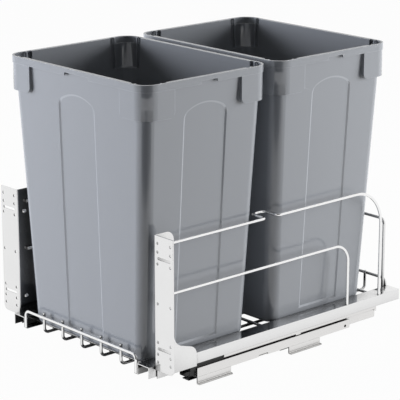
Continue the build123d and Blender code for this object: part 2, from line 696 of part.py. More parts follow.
build_end_rail("rear_basket_rail", rear_rail_y, end_rail_z, end_rail_bend_r)
build_end_rail("rear_hoop", channel_rear_y - hoop_inset, channel_top_z + hoop_height, hoop_bend_r)
build_bin("front_bin", rim_gap_y - (bin_depth + bin_gap) / 2)
build_bin("rear_bin", rim_gap_y + (bin_depth + bin_gap) / 2)
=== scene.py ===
"""Looks of a pull-out waste unit: two grey bins in a chromed wire basket on ball-bearing slides.

Metres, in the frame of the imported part: X across, -Y the way the basket pulls out, +Z up.
"""

import json
import logging
import math
from collections.abc import Callable
from dataclasses import dataclass
from enum import Enum

import bmesh
import bpy
from mathutils import Matrix, Vector

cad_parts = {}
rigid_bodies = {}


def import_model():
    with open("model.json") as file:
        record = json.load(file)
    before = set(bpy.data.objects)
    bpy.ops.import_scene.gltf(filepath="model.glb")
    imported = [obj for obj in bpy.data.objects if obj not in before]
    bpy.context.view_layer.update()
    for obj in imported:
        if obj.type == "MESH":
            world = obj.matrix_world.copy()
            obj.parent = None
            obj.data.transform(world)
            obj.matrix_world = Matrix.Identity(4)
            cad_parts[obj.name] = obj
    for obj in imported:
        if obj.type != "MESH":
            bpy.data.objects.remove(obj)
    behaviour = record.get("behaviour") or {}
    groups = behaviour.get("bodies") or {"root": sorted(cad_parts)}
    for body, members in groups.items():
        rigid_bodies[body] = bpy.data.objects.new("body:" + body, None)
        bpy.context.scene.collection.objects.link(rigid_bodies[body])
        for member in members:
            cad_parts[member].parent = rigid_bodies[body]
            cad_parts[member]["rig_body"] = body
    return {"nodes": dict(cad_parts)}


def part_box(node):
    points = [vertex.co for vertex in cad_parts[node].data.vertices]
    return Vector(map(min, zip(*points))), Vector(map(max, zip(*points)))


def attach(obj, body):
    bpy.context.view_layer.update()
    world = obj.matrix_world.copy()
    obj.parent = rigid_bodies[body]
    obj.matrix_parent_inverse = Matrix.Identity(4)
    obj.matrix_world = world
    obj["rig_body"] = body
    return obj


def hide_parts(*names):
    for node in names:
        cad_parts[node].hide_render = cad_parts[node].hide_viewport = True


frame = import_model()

Triple = tuple[float, float, float]
Colour = tuple[float, float, float, float]
Knot = tuple[float, float, float, float]    # X, Y, Z and bend radius of a point of a wire's route

MM = 0.001
BEVEL_MARK = "panel_bevel"                  # attribute of the faces that slope down to a panel, which get a painted highlight
CREASE = 32.0                               # degrees above which an edge is sharp
ROUND_CREASE = 40.0                         # the same, on wires and rivets
log = logging.getLogger("waste_unit")


class Side(Enum):
    """The two mirrored sides of the unit, with the sign of their X."""

    LEFT = -1
    RIGHT = 1

    @property
    def word(self) -> str:
        """Suffix that the side's nodes and pieces carry."""
        return self.name.lower()


# ---------------------------------------------------------------- node trees
class Level:
    """A float socket of a node tree that takes part in Python arithmetic."""

    def __init__(self, nodes: "Nodes", socket: bpy.types.NodeSocket) -> None:
        """Wrap a socket.

        Args:
            nodes: The tree that new nodes go to.
            socket: The output that carries the value.
        """
        self.nodes = nodes
        self.socket = socket

    def _join(self, operation: str, first: object, second: object) -> "Level":
        """Add one Math node and wrap its output."""
        node = self.nodes.add("ShaderNodeMath", {"operation": operation}, {0: first, 1: second})
        return Level(self.nodes, node.outputs[0])

    def __add__(self, other: object) -> "Level":
        """Sum of two levels."""
        return self._join("ADD", self, other)

    def __radd__(self, other: object) -> "Level":
        """Sum with the level on the right."""
        return self._join("ADD", other, self)

    def __rsub__(self, other: object) -> "Level":
        """Difference with the level on the right."""
        return self._join("SUBTRACT", other, self)

    def __mul__(self, other: object) -> "Level":
        """Product of two levels."""
        return self._join("MULTIPLY", self, other)

    def over(self, low: float, high: float) -> "Level":
        """Ease the level from 0 at low to 1 at high.

        Args:
            low: Value that becomes 0.
            high: Value that becomes 1.

        Returns:
            The eased level.
        """
        node = self.nodes.add("ShaderNodeMapRange", {"interpolation_type": "SMOOTHSTEP"},
                              {"Value": self, "From Min": low, "From Max": high})
        return Level(self.nodes, node.outputs["Result"])


class Nodes:
    """A node tree, built by one method for every kind of node."""

    def __init__(self, tree: bpy.types.NodeTree) -> None:
        """Take hold of the tree.

        Args:
            tree: The tree that the nodes go to.
        """
        self.tree = tree

    def add(self, kind: str, settings: dict | None = None,
            inputs: dict | None = None) -> bpy.types.Node:
        """Add a node, its settings first and then its sockets.

        Args:
            kind: The node's type.
            settings: Attributes to set on the node.
            inputs: Values, sockets or levels by socket name or index.

        Returns:
            The new node.
        """
        node = self.tree.nodes.new(kind)
        for key, value in (settings or {}).items():
            setattr(node, key, value)
        for key, value in (inputs or {}).items():
            self.feed(node, key, value)
        return node

    def feed(self, node: bpy.types.Node, key: str | int, value: object) -> None:
        """Set or link one socket of a node.

        Args:
            node: The node.
            key: The socket's name or index; among sockets of one name, the enabled one.
            value: A constant, a level, or another node's output.
        """
        socket = node.inputs[key] if isinstance(key, int) else next(
            s for s in node.inputs if s.name == key and s.enabled)
        source = value.socket if isinstance(value, Level) else value
        if isinstance(source, bpy.types.NodeSocket):
            self.tree.links.new(source, socket)
        else:
            socket.default_value = source

    def seen(self) -> Level:
        """Tell a look at a surface from light on the object.

        Returns:
            1 for what the camera, a reflection or glass shows, 0 for light on the object.
        """
        path = self.add("ShaderNodeLightPath")
        camera, mirror, glass = (Level(self, path.outputs[f"Is {kind} Ray"])
                                 for kind in ("Camera", "Glossy", "Transmission"))
        return (camera + mirror + glass).over(0.0, 1.0)


class Recipe(Nodes):
    """A geometry tree with named inputs, which turns a base mesh into a plain mesh."""

    def __init__(self, name: str, inputs: dict[str, str]) -> None:
        """Open the tree with its inputs.

        Args:
            name: Name of the tree.
            inputs: Kind of each input by its name; the base mesh and the material are added.
        """
        super().__init__(bpy.data.node_groups.new(name, "GeometryNodeTree"))
        sockets = {"Base": "Geometry", **inputs, "Finish": "Material"}
        self.keys = {label: self.tree.interface.new_socket(
            label, in_out="INPUT", socket_type=f"NodeSocket{kind}").identifier
            for label, kind in sockets.items()}
        self.tree.interface.new_socket("Mesh", in_out="OUTPUT", socket_type="NodeSocketGeometry")
        self.given = self.add("NodeGroupInput").outputs

    def along(self, item: bpy.types.NodeSocket, count: bpy.types.NodeSocket,
              step: bpy.types.NodeSocket) -> bpy.types.NodeSocket:
        """Repeat a shape along a straight line.

        Args:
            item: The shape's socket.
            count: How many.
            step: Vector from each one to the next.

        Returns:
            The instances' socket.
        """
        line = self.add("GeometryNodeMeshLine", {"mode": "OFFSET"},
                        {"Count": count, "Offset": step})
        row = self.add("GeometryNodeInstanceOnPoints", {},
                       {"Points": line.outputs["Mesh"], "Instance": item})
        return row.outputs["Instances"]

    def close(self, result: bpy.types.NodeSocket) -> None:
        """Make the instances real, give them the finish and lead them out.

        Args:
            result: The instances' socket.
        """
        real = self.add("GeometryNodeRealizeInstances", {}, {"Geometry": result})
        dressed = self.add("GeometryNodeSetMaterial", {}, {"Geometry": real.outputs["Geometry"],
                                                           "Material": self.given["Finish"]})
        self.add("NodeGroupOutput", {}, {"Mesh": dressed.outputs["Geometry"]})

    def make(self, name: str, base: bpy.types.Mesh, **values: object) -> bpy.types.Mesh:
        """Run the tree on a base mesh.

        Args:
            name: Name of the new mesh.
            base: Mesh that the tree starts from.
            **values: Inputs, named with underscores for spaces.

        Returns:
            The plain mesh.
        """
        holder = bpy.data.objects.new(f"{name}_base", base)
        bpy.context.scene.collection.objects.link(holder)
        modifier = holder.modifiers.new("recipe", "NODES")
        modifier.node_group = self.tree
        for label, value in values.items():
            modifier[self.keys[label.replace("_", " ")]] = value
        finished = holder.evaluated_get(bpy.context.evaluated_depsgraph_get())
        mesh = bpy.data.meshes.new_from_object(finished)
        mesh.name = name
        holder.modifiers.remove(modifier)
        bpy.data.objects.remove(holder)
        bpy.data.meshes.remove(base)
        return mesh


class BentWire(Recipe):
    """Round wire along a polyline whose points carry their bend radius, repeated along a line."""

    def __init__(self) -> None:
        """Build the tree."""
        super().__init__("bent_wire", {"Wire Radius": "Float", "Sides": "Int", "Bend Steps": "Int",
                                       "Copies": "Int", "Step": "Vector"})
        route = self.add("GeometryNodeMeshToCurve", {}, {"Mesh": self.given["Base"]})
        bend = self.add("GeometryNodeInputNamedAttribute", {"data_type": "FLOAT"}, {"Name": "bend"})
        rounded = self.add("GeometryNodeFilletCurve", {"mode": "POLY"},
                           {"Curve": route.outputs["Curve"], "Count": self.given["Bend Steps"],
                            "Radius": bend.outputs["Attribute"]})
        ring = self.add("GeometryNodeCurvePrimitiveCircle", {},
                        {"Resolution": self.given["Sides"], "Radius": self.given["Wire Radius"]})
        tube = self.add("GeometryNodeCurveToMesh", {}, {"Curve": rounded.outputs["Curve"],
                                                        "Profile Curve": ring.outputs["Curve"],
                                                        "Fill Caps": True})
        self.close(self.along(tube.outputs["Mesh"], self.given["Copies"], self.given["Step"]))

    def route(self, name: str, knots: list[Knot]) -> bpy.types.Mesh:
        """A polyline as a mesh.

        Args:
            name: Name of the mesh.
            knots: Its points, each with the radius of its bend.

        Returns:
            The mesh, its bend radii in an attribute.
        """
        mesh = bpy.data.meshes.new(name)
        links = [(first, first + 1) for first in range(len(knots) - 1)]
        mesh.from_pydata([knot[:3] for knot in knots], links, [])
        bends = mesh.attributes.new("bend", "FLOAT", "POINT")
        bends.data.foreach_set("value", [knot[3] for knot in knots])
        return mesh


class Grid(Recipe):
    """A small item repeated in rows and columns."""

    def __init__(self) -> None:
        """Build the tree."""
        super().__init__("grid_of_items", {"Count": "Int", "Step": "Vector", "Rows": "Int",
                                           "Row Step": "Vector"})
        row = self.along(self.given["Base"], self.given["Count"], self.given["Step"])
        self.close(self.along(row, self.given["Rows"], self.given["Row Step"]))


# ---------------------------------------------------------------- materials
class Shader(Nodes):
    """A material's node tree."""

    bevel_samples: int = 6
    shelter_samples: int = 8

    def __init__(self, name: str) -> None:
        """Make the material and its two fixed nodes.

        Args:
            name: Name of the material.
        """
        self.material = bpy.data.materials.new(name)
        self.material.use_nodes = True
        super().__init__(self.material.node_tree)
        self.surface = self.tree.nodes["Principled BSDF"]

    def set(self, **values: object) -> None:
        """Set or link sockets of the surface, named with underscores for spaces."""
        for key, value in values.items():
            self.feed(self.surface, key.replace("_", " "), value)

    def place(self, scale: Triple = (1, 1, 1)) -> bpy.types.NodeSocket:
        """Object coordinates, stretched.

        Args:
            scale: Factors along X, Y and Z.

        Returns:
            The vector socket.
        """
        coordinates = self.add("ShaderNodeTexCoord")
        mapping = self.add("ShaderNodeMapping", {},
                           {"Vector": coordinates.outputs["Object"], "Scale": scale})
        return mapping.outputs["Vector"]

    def noise(self, scale: float, detail: float = 2.0, stretch: Triple = (1, 1, 1)) -> Level:
        """Cloudy noise on object coordinates.

        Args:
            scale: Cells to the metre.
            detail: Octaves.
            stretch: Factors along X, Y and Z before the scale.

        Returns:
            The noise's level, about 0.5 on average.
        """
        node = self.add("ShaderNodeTexNoise", {}, {"Vector": self.place(stretch), "Scale": scale,
                                                   "Detail": detail})
        return Level(self, node.outputs["Fac"])

    def grain(self, scale: float, smoothness: float = 0.6) -> Level:
        """Small pebbled cells on object coordinates.

        Args:
            scale: Cells to the metre.
            smoothness: How softly one cell passes into the next.

        Returns:
            The distance to the cells' centres.
        """
        node = self.add("ShaderNodeTexVoronoi", {"feature": "SMOOTH_F1"},
                        {"Vector": self.place(), "Scale": scale, "Smoothness": smoothness})
        return Level(self, node.outputs["Distance"])

    def mark(self, name: str) -> Level:
        """An attribute of the mesh; 0 on a piece that has none.

        Args:
            name: Name of the attribute.

        Returns:
            The attribute's level.
        """
        return Level(self, self.add("ShaderNodeAttribute", {"attribute_name": name}).outputs["Fac"])

    def blend(self, share: Level, first: object, second: object) -> bpy.types.NodeSocket:
        """Mix two colours.

        Args:
            share: How much of the second colour.
            first: Colour at 0.
            second: Colour at 1.

        Returns:
            The mixed colour's socket.
        """
        node = self.add("ShaderNodeMix", {"data_type": "RGBA"},
                        {"Factor": share, "A": first, "B": second})
        return next(s for s in node.outputs if s.enabled)

    def bump(self, height: Level, depth: float, edge: float) -> Level:
        """Raise the surface's normal by a height, over edges that are shaded as rounded.

        Args:
            height: The height, 0 to 1.
            depth: Size of 1, in metres.
            edge: Radius of the rounded edges, in metres.

        Returns:
            How much the rounding turns the surface: 0 on flat faces, more along the edges.
        """
        bevel = self.add("ShaderNodeBevel", {"samples": self.bevel_samples}, {"Radius": edge})
        rounded = bevel.outputs["Normal"]
        node = self.add("ShaderNodeBump", {},
                        {"Height": height, "Distance": depth, "Normal": rounded})
        self.set(Normal=node.outputs["Normal"])
        flat = self.add("ShaderNodeNewGeometry").outputs["Normal"]
        match = self.add("ShaderNodeVectorMath", {"operation": "DOT_PRODUCT"},
                         {0: rounded, 1: flat})
        return 1.0 - Level(self, match.outputs["Value"])

    def shelter(self, reach: float) -> Level:
        """How closed in a point is: 0 on free faces, more in holes, folds and beside other pieces.

        Args:
            reach: Distance in metres within which other faces shelter a point.

        Returns:
            The sheltered share.
        """
        node = self.add("ShaderNodeAmbientOcclusion", {"samples": self.shelter_samples},
                        {"Distance": reach})
        return 1.0 - Level(self, node.outputs["AO"])

    def rim(self) -> Level:
        """How far a point turns away from the eye: 0 facing it, 1 at the outline."""
        return Level(self, self.add("ShaderNodeLayerWeight").outputs["Facing"])


def grey(value: float, warmth: float = 0.0) -> Colour:
    """A near-neutral colour.

    Args:
        value: Linear brightness.
        warmth: Share moved from blue to red.

    Returns:
        The colour with full alpha.
    """
    return (value * (1 + warmth), value, value * (1 - warmth), 1.0)


def toned(colour: Colour, share: float) -> Colour:
    """A colour made darker or paler.

    Args:
        colour: The colour.
        share: Its new brightness, 1 for the same.

    Returns:
        The colour with full alpha.
    """
    return (*(share * channel for channel in colour[:3]), 1.0)


# ---------------------------------------------------------------- finishes
@dataclass(frozen=True)
class MouldedPlastic:
    """Injection-moulded polypropylene: satin texture from the mould, with a highlight painted paler
    along its edges.

    worn is the brightness of the painted edge highlight, reached where its rounding turns
    the surface by worn_turn, and worn_bevel is how much of the painted highlight the
    bevels round a panel get.
    """

    name: str
    colour: Colour
    shade: float = 0.97
    worn: float = 1.7
    worn_start: float = 0.002
    worn_turn: float = 0.05
    worn_bevel: float = 0.4
    roughness: float = 0.13
    roughness_swing: float = 0.04
    index: float = 1.7
    edge: float = 0.8 * MM
    flow_scale: float = 4.0
    flow_detail: float = 1.0
    flow_stretch: Triple = (1.0, 1.0, 0.3)
    grain_scale: float = 1600.0
    grain_depth: float = 0.008 * MM
    speckle: float = 0.5

    def material(self) -> bpy.types.Material:
        """Build the plastic's material.

        Returns:
            The material.
        """
        shader = Shader(self.name)
        flow = shader.noise(self.flow_scale, self.flow_detail, self.flow_stretch)
        texture = shader.grain(self.grain_scale) + shader.noise(self.grain_scale / 2) * self.speckle
        turned = shader.bump(texture, self.grain_depth, self.edge)
        # Painted highlight: edges, and the bevels round the panels, are coloured paler where
        # rounded edges would catch the light.
        edges = turned.over(self.worn_start, self.worn_turn)
        painted_highlight = edges + shader.mark(BEVEL_MARK) * self.worn_bevel
        clean = shader.blend(flow, toned(self.colour, self.shade), self.colour)
        smoothest = self.roughness - self.roughness_swing / 2
        shader.set(Base_Color=shader.blend(painted_highlight, clean, toned(self.colour, self.worn)),
                   Roughness=smoothest + flow * self.roughness_swing, IOR=self.index)
        return shader.material


@dataclass(frozen=True)
class PlatedSteel:
    """Bright plated steel, with the faint lines of the strip or wire that it was made from.

    Where other faces shelter the steel within its reach, shade is painted into its colour, so it
    mirrors less and goes dark, from the share closed_start on and fully at closed. outline is how
    much painted shade darkens a wire towards its outline.
    """

    name: str
    colour: Colour
    roughness: float = 0.12
    cloudiness: float = 0.04
    cloud_scale: float = 25.0
    cloud_detail: float = 3.0
    dark: float = 0.12
    edge: float = 0.4 * MM
    reach: float = 14.0 * MM
    closed_start: float = 0.12
    closed: float = 0.85
    outline: float = 0.0
    outline_start: float = 0.5
    line_scale: float = 900.0
    line_depth: float = 0.002 * MM
    stretch: Triple = (1.0, 0.02, 1.0)

    def material(self) -> bpy.types.Material:
        """Build the metal's material.

        Returns:
            The material.
        """
        shader = Shader(self.name)
        cloud = shader.noise(self.cloud_scale, self.cloud_detail)
        lines = shader.noise(self.line_scale, stretch=self.stretch)
        # Painted shade: the colour darkens where other faces shelter the steel, and towards a
        # wire's outline.
        sheltered = shader.shelter(self.reach).over(self.closed_start, self.closed)
        painted_outline_shade = shader.rim().over(self.outline_start, 1.0) * self.outline
        share = sheltered + painted_outline_shade + cloud * self.cloudiness
        shader.set(Base_Color=shader.blend(share, self.colour, toned(self.colour, self.dark)),
                   Metallic=1.0, Roughness=self.roughness + (cloud + lines) * self.cloudiness)
        shader.bump(lines, self.line_depth, self.edge)
        return shader.material


NO_GRAIN = (1.0, 1.0, 1.0)
FINISHES = {
    "bin_plastic": MouldedPlastic("bin_grey", (0.27, 0.285, 0.31, 1.0)),
    # Near-black plastic of the slides' front guides; the black also stands for the shade in the
    # hollow front of each slide.
    "guide_plastic": MouldedPlastic("guide_black", grey(0.012), roughness=0.4, edge=0.4 * MM,
                                    index=1.45),
    # The plated steels darken with painted shade near other faces; folded_steel reaches 70 mm into
    # channels and brackets.
    "folded_steel": PlatedSteel("chromed_strip", grey(0.82), roughness=0.07, reach=70.0 * MM,
                                closed=0.6),
    "slide_steel": PlatedSteel("zinc_rolled", grey(0.76, 0.01), roughness=0.15),
    "chromed_wire": PlatedSteel("chromed_wire", grey(0.9), roughness=0.03, cloudiness=0.02,
                                outline=0.1, stretch=NO_GRAIN),
    # floor_wire and the rear wires are copies of the chromed wire with more painted shade, darker
    # near the bins and towards their outline.
    "floor_wire": PlatedSteel("floor_wire", grey(0.88), roughness=0.04, cloudiness=0.02,
                              reach=80.0 * MM, outline=0.5, stretch=NO_GRAIN),
    "rear_wire": PlatedSteel("rear_wire", grey(0.8), roughness=0.05, cloudiness=0.02,
                             reach=120.0 * MM, outline=0.8, stretch=NO_GRAIN),
    "bearing_steel": PlatedSteel("ball_steel", grey(0.8), roughness=0.04, cloudiness=0.0,
                                 stretch=NO_GRAIN),
    "cage_steel": PlatedSteel("cage_steel", grey(0.45, 0.03), roughness=0.3),
    "rivet_steel": PlatedSteel("rivet_steel", grey(0.7), roughness=0.15, stretch=NO_GRAIN),
}


class Palette:
    """Every finish as a material, made once and handed out by its name.

    Most finishes carry the name of the record's slot that they are for.
    """

    def __init__(self) -> None:
        """Make all the materials."""
        self.materials = {name: finish.material() for name, finish in FINISHES.items()}

    def dress(self, piece: bpy.types.Object, slot: str, finish: str = "") -> None:
        """Give a piece its finish.

        Args:
            piece: The piece.
            slot: Name of the record's material slot.
            finish: Name of the finish, where it isn't the slot's own.
        """
        piece.data.materials.clear()
        piece.data.materials.append(self.materials[finish or slot])


# ---------------------------------------------------------------- pieces
def finished_mesh(shell: bmesh.types.BMesh, name: str) -> bpy.types.Mesh:
    """Turn a shell into a mesh and let go of it.

    Args:
        shell: The shell.
        name: Name of the mesh.

    Returns:
        The mesh.
    """
    mesh = bpy.data.meshes.new(name)
    shell.to_mesh(mesh)
    shell.free()
    return mesh


@dataclass
class Dresser:
    """Gives a finished mesh its shading, its finish and its place among the bodies.

    A copied node's points within merge of each other become one, and faces that meet at less
    than flat degrees become one face. segments is how many faces a bevel has.
    """

    palette: Palette
    merge: float = 0.002 * MM
    flat: float = 0.2
    segments: int = 2

    def add(self, mesh: bpy.types.Mesh, name: str, body: str, slot: str, crease: float = CREASE,
            finish: str = "") -> bpy.types.Object:
        """Shade and dress a mesh and let it ride on a body.

        Args:
            mesh: The mesh, in its place.
            name: Name of the piece.
            body: Name of the body.
            slot: Its material slot.
            crease: Angle in degrees above which an edge is sharp.
            finish: Name of the finish, where it isn't the slot's own.

        Returns:
            The new piece.
        """
        mesh.polygons.foreach_set("use_smooth", [True] * len(mesh.polygons))
        mesh.set_sharp_from_angle(angle=math.radians(crease))
        piece = bpy.data.objects.new(name, mesh)
        bpy.context.scene.collection.objects.link(piece)
        self.palette.dress(piece, slot, finish)
        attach(piece, body)
        log.info("%s rides on %s with %d faces", name, body, len(mesh.polygons))
        return piece

    def show(self, mesh: bpy.types.Mesh, node: str, slot: str, crease: float = CREASE,
             finish: str = "") -> bpy.types.Object:
        """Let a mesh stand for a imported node.

        Args:
            mesh: The mesh, in its place.
            node: The node's name.
            slot: Its material slot.
            crease: Angle in degrees above which an edge is sharp.
            finish: Name of the finish, where it isn't the slot's own.

        Returns:
            The new piece.
        """
        body = frame["nodes"][node]["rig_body"]
        piece = self.add(mesh, f"{node}_shown", body, slot, crease, finish)
        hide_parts(node)
        return piece

    def carry(self, node: str, slot: str, edge: float = 0.0, crease: float = CREASE,
              shape: Callable[[bmesh.types.BMesh], None] | None = None) -> bpy.types.Object:
        """Copy a node, merge and soften it, and let the copy stand for the node.

        Args:
            node: The node's name.
            slot: Its material slot.
            edge: Width of the bevel on its sharp edges, in metres; 0 for none.
            crease: Angle in degrees above which an edge is sharp.
            shape: What is done to the merged copy before its edges are softened.

        Returns:
            The new piece.
        """
        limit = math.radians(crease)
        shell = bmesh.new()
        shell.from_mesh(frame["nodes"][node].data)
        bmesh.ops.remove_doubles(shell, verts=shell.verts, dist=self.merge)
        bmesh.ops.dissolve_limit(shell, angle_limit=math.radians(self.flat), verts=shell.verts,
                                 edges=shell.edges)
        if shape:
            shape(shell)
        if edge:
            corners = [e for e in shell.edges if e.is_manifold and e.calc_face_angle() > limit]
            bmesh.ops.bevel(shell, geom=corners, offset=edge, segments=self.segments, profile=0.5,
                            affect="EDGES", clamp_overlap=False)
        piece = self.show(finished_mesh(shell, f"{node}_shown"), node, slot, crease)
        piece.modifiers.new("face_normals", "WEIGHTED_NORMAL").keep_sharp = True
        return piece


@dataclass
class Bins:
    """The two lift-out bins.

    A panel's floor is a face of more than panel_area square metres with a bevel all round it,
    which turns from the floor by an angle within panel_edge, in degrees.
    """

    dresser: Dresser
    crease: float = 14.0
    panel_area: float = 0.01
    panel_edge: tuple[float, float] = (15.0, 30.0)
    panel_sink: float = 0.5 * MM

    def sink_panels(self, shell: bmesh.types.BMesh) -> None:
        """Press the floors of the arched panels in, and mark the bevels that slope down to them.

        Args:
            shell: The merged copy of a bin.
        """
        bevels = shell.faces.layers.float.new(BEVEL_MARK)
        low, high = (math.radians(angle) for angle in self.panel_edge)
        floors = [face for face in shell.faces if face.calc_area() > self.panel_area
                  and all(edge.is_manifold and low < edge.calc_face_angle() < high
                          for edge in face.edges)]
        for face in floors:
            for edge in face.edges:
                for neighbour in edge.link_faces:
                    neighbour[bevels] = float(neighbour is not face)
            bmesh.ops.translate(shell, verts=face.verts, vec=-self.panel_sink * face.normal)
        log.info("sank %d panels", len(floors))

    def build(self) -> None:
        """Carry both bins over."""
        for name in ("front_bin", "rear_bin"):
            self.dresser.carry(name, "bin_plastic", crease=self.crease, shape=self.sink_panels)


@dataclass
class WireWork:
    """The chromed wires of the basket, each bent along its route.

    How far a wire reaches is read from its node's box; its thickness and bends are given here.
    """

    dresser: Dresser
    bench: BentWire
    grid: Grid
    rail_wire: float = 5.0 * MM
    floor_wire: float = 4.8 * MM
    sides: int = 20
    bend_steps: int = 10
    rail_bend_steps: int = 18
    weld_gap: float = 0.2 * MM
    end_rail_bend: float = 9.0 * MM
    hoop_bend: float = 10.0 * MM
    floor_wire_bend: float = 8.0 * MM
    floor_wires: int = 5
    cross_wires: int = 7
    cross_wire_front: float = 26.0 * MM
    cross_wire_rear: float = 32.0 * MM
    upper_bend: float = 61.0 * MM
    lower_bend: float = 31.0 * MM
    dip_width: float = 27.0 * MM
    dip_corner: float = 7.0 * MM
    dip_bend: float = 8.0 * MM
    weld: Triple = (3.4 * MM, 3.4 * MM, 1.5 * MM)

    def bend(self, node: str, knots: list[Knot], diameter: float, steps: int, copies: int = 1,
             step: Triple = (0.0, 0.0, 0.0), finish: str = "") -> None:
        """Bend one wire, repeat it and let it stand for its node.

        Args:
            node: The node's name.
            knots: The route's points, each with the radius of its bend.
            diameter: The wire's diameter.
            steps: Faces along each bend.
            copies: How many wires.
            step: Vector from each wire to the next.
            finish: Name of the finish, where it isn't the chromed wire's own.
        """
        mesh = self.bench.make(f"{node}_shown", self.bench.route(f"{node}_route", knots),
                               Wire_Radius=diameter / 2, Sides=self.sides, Bend_Steps=steps,
                               Copies=copies, Step=step,
                               Finish=self.dresser.palette.materials[finish or "chromed_wire"])
        self.dresser.show(mesh, node, "chromed_wire", ROUND_CREASE, finish)

    def arch(self, node: str, bend: float, finish: str = "") -> None:
        """An upright U across the basket, as wide and as high as its node.

        Args:
            node: The node's name.
            bend: Radius of its two bends.
            finish: Name of the finish, where it isn't the chromed wire's own.
        """
        low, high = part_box(node)
        radius = self.rail_wire / 2
        x, y, top = high[0] - radius, (low[1] + high[1]) / 2, high[2] - radius
        self.bend(node, [(-x, y, low[2], 0.0), (-x, y, top, bend),
                         (x, y, top, bend), (x, y, low[2], 0.0)],
                  self.rail_wire, self.bend_steps, finish=finish)

    def side_rails(self, side: Side) -> None:
        """The two rails of one side, the upper one with a loop inward between the bins.

        Args:
            side: The side.
        """
        radius = self.rail_wire / 2
        between = (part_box("front_bin")[1][1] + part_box("rear_bin")[0][1]) / 2
        before, behind = between - self.dip_width / 2, between + self.dip_width / 2
        for name, turn in (("upper", self.upper_bend), ("lower", self.lower_bend)):
            node = f"{name}_side_rail_{side.word}"
            low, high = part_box(node)
            outer, inner = (low[0], high[0]) if side is Side.LEFT else (high[0], low[0])
            x, dip_x = outer - side.value * radius, inner + side.value * radius
            leg, z = high[1] - radius, high[2] - radius
            dip = [(x, before, z, self.dip_corner), (dip_x, before, z, self.dip_bend),
                   (dip_x, behind, z, self.dip_bend), (x, behind, z, self.dip_corner)]
            self.bend(node, [(x, low[1], z, 0.0), *(dip if name == "upper" else []),
                             (x, leg, z, turn), (x, leg, low[2], 0.0)],
                      self.rail_wire, self.rail_bend_steps)

    def floor_row(self) -> tuple[float, float, float]:
        """Where the floor wires lie side by side.

        Returns:
            X of the first one's middle, the distance between two, and Z of their middles.
        """
        low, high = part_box("floor_wires")
        pitch = (high[0] - low[0] - self.floor_wire) / (self.floor_wires - 1)
        return low[0] + self.floor_wire / 2, pitch, low[2] + self.floor_wire / 2

    def cross_row(self) -> tuple[float, float, float]:
        """Where the cross wires lie one behind the other.

        Returns:
            Y of the first one's middle, the distance between two, and Z of their middles.
        """
        front, rear = (corner[1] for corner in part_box("side_channel_right"))
        first, last = front + self.cross_wire_front, rear - self.cross_wire_rear
        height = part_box("cross_wires")[0][2] + self.floor_wire / 2
        return first, (last - first) / (self.cross_wires - 1), height

    def lay_floor(self) -> None:
        """The upturned floor wires, between the two end rails, and the cross wires on them."""
        apart = (self.rail_wire + self.floor_wire) / 2 + self.weld_gap
        front, rear = (sum(corner[1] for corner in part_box(f"{end}_basket_rail")) / 2
                       for end in ("front", "rear"))
        x, pitch, z = self.floor_row()
        first, last, tip = front + apart, rear - apart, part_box("floor_wires")[1][2]
        self.bend("floor_wires", [(x, first, tip, 0.0), (x, first, z, self.floor_wire_bend),
                                  (x, last, z, self.floor_wire_bend), (x, last, tip, 0.0)],
                  self.floor_wire, self.bend_steps, self.floor_wires, (pitch, 0.0, 0.0),
                  "floor_wire")
        y, pitch, z = self.cross_row()
        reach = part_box("cross_wires")[1][0]
        self.bend("cross_wires", [(-reach, y, z, 0.0), (reach, y, z, 0.0)], self.floor_wire,
                  self.bend_steps, self.cross_wires, (0.0, pitch, 0.0), "floor_wire")

    def set_welds(self) -> None:
        """Flattened weld nuggets where the cross wires lie on the floor wires."""
        x, floor_pitch, floor_z = self.floor_row()
        y, cross_pitch, cross_z = self.cross_row()
        spot = Matrix.Translation((x, y, (floor_z + cross_z) / 2))
        shell = bmesh.new()
        bmesh.ops.create_icosphere(shell, subdivisions=2, radius=1.0,
                                   matrix=spot @ Matrix.Diagonal((*self.weld, 1.0)))
        welds = self.grid.make("weld_nuggets", finished_mesh(shell, "weld_nugget"),
                               Count=self.floor_wires, Step=(floor_pitch, 0.0, 0.0),
                               Rows=self.cross_wires, Row_Step=(0.0, cross_pitch, 0.0),
                               Finish=self.dresser.palette.materials["floor_wire"])
        self.dresser.add(welds, "weld_nuggets", "basket", "chromed_wire", finish="floor_wire")

    def build(self) -> None:
        """Bend every wire of the basket and weld the floor together."""
        self.arch("front_basket_rail", self.end_rail_bend)
        self.arch("rear_basket_rail", self.end_rail_bend, "rear_wire")
        self.arch("rear_hoop", self.hoop_bend, "rear_wire")
        self.lay_floor()
        self.set_welds()
        for side in Side:
            self.side_rails(side)


